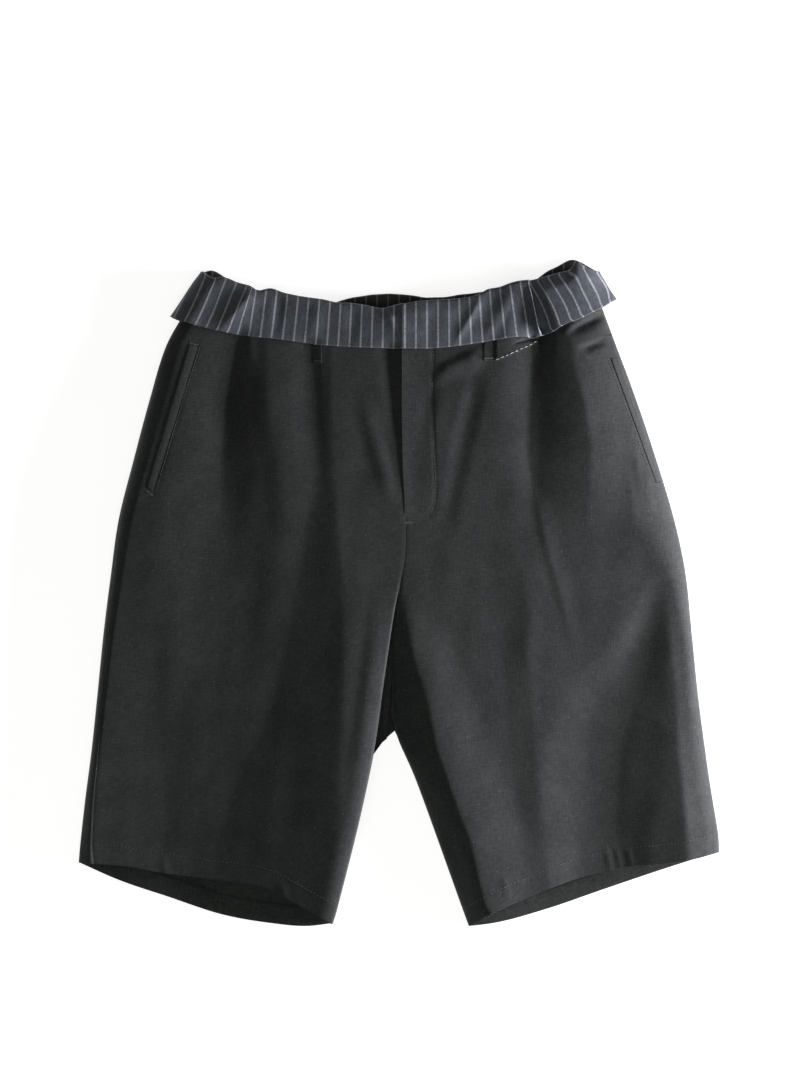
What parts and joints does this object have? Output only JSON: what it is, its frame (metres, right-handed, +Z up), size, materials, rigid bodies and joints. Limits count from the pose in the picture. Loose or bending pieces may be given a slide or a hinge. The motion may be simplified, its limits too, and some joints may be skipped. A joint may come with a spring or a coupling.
{
  "type": "cropped trousers",
  "caption": "Knee-length tailored trousers laid flat, front up, with slanted welt pockets, belt loops and a pinstripe inner band turned down over the waist.",
  "frame": {"origin": "on the surface that the garment lies on, under the middle of its box", "axes": "+X to the wearer's left, +Y towards the waist, +Z up from the surface, out of the garment's front"},
  "size_m": [0.642, 0.6666, 0.0303],
  "materials": {
    "suiting": "plain-woven wool suiting, near-black, matt with a slight nap",
    "pinstripe": "smooth charcoal band cloth with pale grey pinstripes 11 mm apart"
  },
  "bodies": {
    "root": {"front_right": "suiting", "front_left": "suiting", "back_right": "suiting", "back_left": "suiting", "waistband_front_right": "suiting", "waistband_front_left": "suiting", "waistband_back_right": "suiting", "waistband_back_left": "suiting", "fly_shield": "suiting", "pocket_welt_right": "suiting", "pocket_welt_left": "suiting", "belt_loop_front_right": "suiting", "belt_loop_front_left": "suiting", "belt_loop_back_right": "suiting", "belt_loop_back_centre": "suiting", "belt_loop_back_left": "suiting", "band_front": "pinstripe", "band_side": "pinstripe", "band_back": "pinstripe", "band_facing": "pinstripe"}
  },
  "joints": []
}
